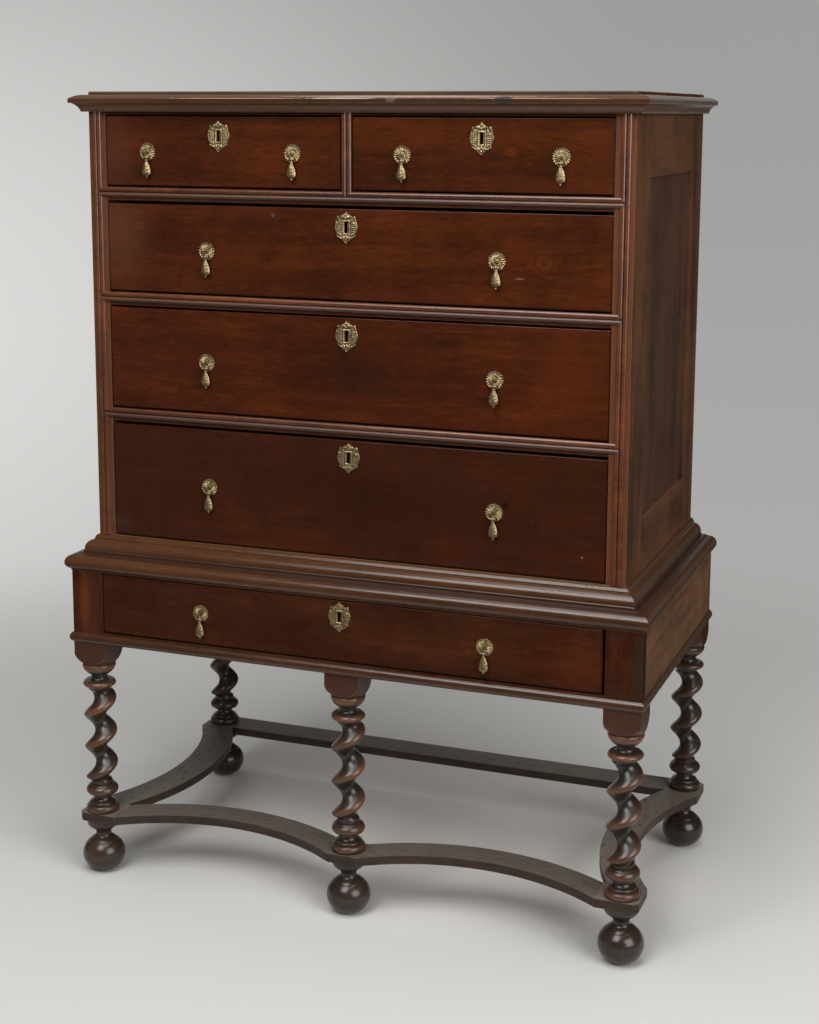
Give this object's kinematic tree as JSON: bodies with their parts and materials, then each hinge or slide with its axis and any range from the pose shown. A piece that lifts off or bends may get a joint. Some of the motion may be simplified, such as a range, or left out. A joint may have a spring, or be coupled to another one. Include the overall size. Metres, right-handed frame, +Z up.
{
  "type": "highboy",
  "caption": "High chest of drawers on a low stand with a drawer, twist-turned legs, bowed flat stretchers and ball feet; drawers slide, teardrop pulls swing and lock bolts lift.",
  "frame": {"origin": "on the floor, in the middle of the overall width and depth", "axes": "+Z up, -Y out of the front where the drawers open, +X to the right as seen from the front"},
  "size_m": [1.086, 0.5886, 1.4515],
  "materials": {
    "drawer_front_walnut": "satin polish over figured walnut",
    "case_walnut": "worn satin polish",
    "moulding_walnut": "polished, worn light on the edges",
    "turned_walnut": "satin polish, dark in the hollows",
    "stretcher_walnut": "worn satin polish",
    "secondary_pine": "bare, oxidised",
    "old_brass": "old cast brass, dull in the hollows",
    "lock_steel": "dull filed steel"
  },
  "bodies": {
    "carcase": {"top_board": "case_walnut", "cornice_moulding": "moulding_walnut", "right_side_frame": "case_walnut", "left_side_frame": "case_walnut", "side_panels": "case_walnut", "case_rails": "case_walnut", "case_beads": "moulding_walnut", "case_runners": "secondary_pine", "case_bottom": "secondary_pine", "case_back": "secondary_pine", "waist_moulding": "moulding_walnut", "stand_front": "case_walnut", "stand_sides": "case_walnut", "stand_bead": "moulding_walnut", "stand_runners": "secondary_pine", "leg_front_left": "turned_walnut", "leg_front_middle": "turned_walnut", "leg_front_right": "turned_walnut", "leg_rear_left": "turned_walnut", "leg_rear_right": "turned_walnut", "front_stretchers": "stretcher_walnut", "side_stretchers": "stretcher_walnut", "rear_stretcher": "stretcher_walnut", "ball_feet": "turned_walnut"},
    "top_left_drawer": {"top_left_drawer_front": "drawer_front_walnut", "top_left_drawer_box": "secondary_pine", "top_left_drawer_brasses": "old_brass"},
    "top_left_drawer_bolt": {"top_left_drawer_bolt": "lock_steel"},
    "top_left_drawer_left_drop": {"top_left_drawer_left_drop": "old_brass"},
    "top_left_drawer_right_drop": {"top_left_drawer_right_drop": "old_brass"},
    "top_right_drawer": {"top_right_drawer_front": "drawer_front_walnut", "top_right_drawer_box": "secondary_pine", "top_right_drawer_brasses": "old_brass"},
    "top_right_drawer_bolt": {"top_right_drawer_bolt": "lock_steel"},
    "top_right_drawer_left_drop": {"top_right_drawer_left_drop": "old_brass"},
    "top_right_drawer_right_drop": {"top_right_drawer_right_drop": "old_brass"},
    "second_drawer": {"second_drawer_front": "drawer_front_walnut", "second_drawer_box": "secondary_pine", "second_drawer_brasses": "old_brass"},
    "second_drawer_bolt": {"second_drawer_bolt": "lock_steel"},
    "second_drawer_left_drop": {"second_drawer_left_drop": "old_brass"},
    "second_drawer_right_drop": {"second_drawer_right_drop": "old_brass"},
    "third_drawer": {"third_drawer_front": "drawer_front_walnut", "third_drawer_box": "secondary_pine", "third_drawer_brasses": "old_brass"},
    "third_drawer_bolt": {"third_drawer_bolt": "lock_steel"},
    "third_drawer_left_drop": {"third_drawer_left_drop": "old_brass"},
    "third_drawer_right_drop": {"third_drawer_right_drop": "old_brass"},
    "fourth_drawer": {"fourth_drawer_front": "drawer_front_walnut", "fourth_drawer_box": "secondary_pine", "fourth_drawer_brasses": "old_brass"},
    "fourth_drawer_bolt": {"fourth_drawer_bolt": "lock_steel"},
    "fourth_drawer_left_drop": {"fourth_drawer_left_drop": "old_brass"},
    "fourth_drawer_right_drop": {"fourth_drawer_right_drop": "old_brass"},
    "stand_drawer": {"stand_drawer_front": "drawer_front_walnut", "stand_drawer_box": "secondary_pine", "stand_drawer_brasses": "old_brass"},
    "stand_drawer_bolt": {"stand_drawer_bolt": "lock_steel"},
    "stand_drawer_left_drop": {"stand_drawer_left_drop": "old_brass"},
    "stand_drawer_right_drop": {"stand_drawer_right_drop": "old_brass"}
  },
  "joints": [
    {"name": "top_left_drawer_slide", "type": "slide", "parent": "carcase", "child": "top_left_drawer", "axis": [0, -1, 0], "range_m": [0, 0.36]},
    {"name": "top_left_drawer_bolt_lift", "type": "slide", "parent": "top_left_drawer", "child": "top_left_drawer_bolt", "axis": [0, 0, 1], "range_m": [0, 0.014]},
    {"name": "top_left_drawer_left_drop_swing", "type": "hinge", "parent": "top_left_drawer", "child": "top_left_drawer_left_drop", "pos_m": [-0.3765, -0.2516, 1.338], "axis": [-1, 0, 0], "range_deg": [-2, 85]},
    {"name": "top_left_drawer_right_drop_swing", "type": "hinge", "parent": "top_left_drawer", "child": "top_left_drawer_right_drop", "pos_m": [-0.0988, -0.2516, 1.338], "axis": [-1, 0, 0], "range_deg": [-2, 85]},
    {"name": "top_right_drawer_slide", "type": "slide", "parent": "carcase", "child": "top_right_drawer", "axis": [0, -1, 0], "range_m": [0, 0.36]},
    {"name": "top_right_drawer_bolt_lift", "type": "slide", "parent": "top_right_drawer", "child": "top_right_drawer_bolt", "axis": [0, 0, 1], "range_m": [0, 0.014]},
    {"name": "top_right_drawer_left_drop_swing", "type": "hinge", "parent": "top_right_drawer", "child": "top_right_drawer_left_drop", "pos_m": [0.1, -0.2516, 1.338], "axis": [-1, 0, 0], "range_deg": [-2, 85]},
    {"name": "top_right_drawer_right_drop_swing", "type": "hinge", "parent": "top_right_drawer", "child": "top_right_drawer_right_drop", "pos_m": [0.372, -0.2516, 1.338], "axis": [-1, 0, 0], "range_deg": [-2, 85]},
    {"name": "second_drawer_slide", "type": "slide", "parent": "carcase", "child": "second_drawer", "axis": [0, -1, 0], "range_m": [0, 0.36]},
    {"name": "second_drawer_bolt_lift", "type": "slide", "parent": "second_drawer", "child": "second_drawer_bolt", "axis": [0, 0, 1], "range_m": [0, 0.014]},
    {"name": "second_drawer_left_drop_swing", "type": "hinge", "parent": "second_drawer", "child": "second_drawer_left_drop", "pos_m": [-0.264, -0.2516, 1.1679], "axis": [-1, 0, 0], "range_deg": [-2, 85]},
    {"name": "second_drawer_right_drop_swing", "type": "hinge", "parent": "second_drawer", "child": "second_drawer_right_drop", "pos_m": [0.266, -0.2516, 1.1679], "axis": [-1, 0, 0], "range_deg": [-2, 85]},
    {"name": "third_drawer_slide", "type": "slide", "parent": "carcase", "child": "third_drawer", "axis": [0, -1, 0], "range_m": [0, 0.36]},
    {"name": "third_drawer_bolt_lift", "type": "slide", "parent": "third_drawer", "child": "third_drawer_bolt", "axis": [0, 0, 1], "range_m": [0, 0.014]},
    {"name": "third_drawer_left_drop_swing", "type": "hinge", "parent": "third_drawer", "child": "third_drawer_left_drop", "pos_m": [-0.2675, -0.2516, 0.9717], "axis": [-1, 0, 0], "range_deg": [-2, 85]},
    {"name": "third_drawer_right_drop_swing", "type": "hinge", "parent": "third_drawer", "child": "third_drawer_right_drop", "pos_m": [0.2645, -0.2516, 0.9717], "axis": [-1, 0, 0], "range_deg": [-2, 85]},
    {"name": "fourth_drawer_slide", "type": "slide", "parent": "carcase", "child": "fourth_drawer", "axis": [0, -1, 0], "range_m": [0, 0.36]},
    {"name": "fourth_drawer_bolt_lift", "type": "slide", "parent": "fourth_drawer", "child": "fourth_drawer_bolt", "axis": [0, 0, 1], "range_m": [0, 0.014]},
    {"name": "fourth_drawer_left_drop_swing", "type": "hinge", "parent": "fourth_drawer", "child": "fourth_drawer_left_drop", "pos_m": [-0.266, -0.2516, 0.7476], "axis": [-1, 0, 0], "range_deg": [-2, 85]},
    {"name": "fourth_drawer_right_drop_swing", "type": "hinge", "parent": "fourth_drawer", "child": "fourth_drawer_right_drop", "pos_m": [0.266, -0.2516, 0.7476], "axis": [-1, 0, 0], "range_deg": [-2, 85]},
    {"name": "stand_drawer_slide", "type": "slide", "parent": "carcase", "child": "stand_drawer", "axis": [0, -1, 0], "range_m": [0, 0.36]},
    {"name": "stand_drawer_bolt_lift", "type": "slide", "parent": "stand_drawer", "child": "stand_drawer_bolt", "axis": [0, 0, 1], "range_m": [0, 0.014]},
    {"name": "stand_drawer_left_drop_swing", "type": "hinge", "parent": "stand_drawer", "child": "stand_drawer_left_drop", "pos_m": [-0.2695, -0.2866, 0.5242], "axis": [-1, 0, 0], "range_deg": [-2, 85]},
    {"name": "stand_drawer_right_drop_swing", "type": "hinge", "parent": "stand_drawer", "child": "stand_drawer_right_drop", "pos_m": [0.2635, -0.2866, 0.5242], "axis": [-1, 0, 0], "range_deg": [-2, 85]}
  ]
}
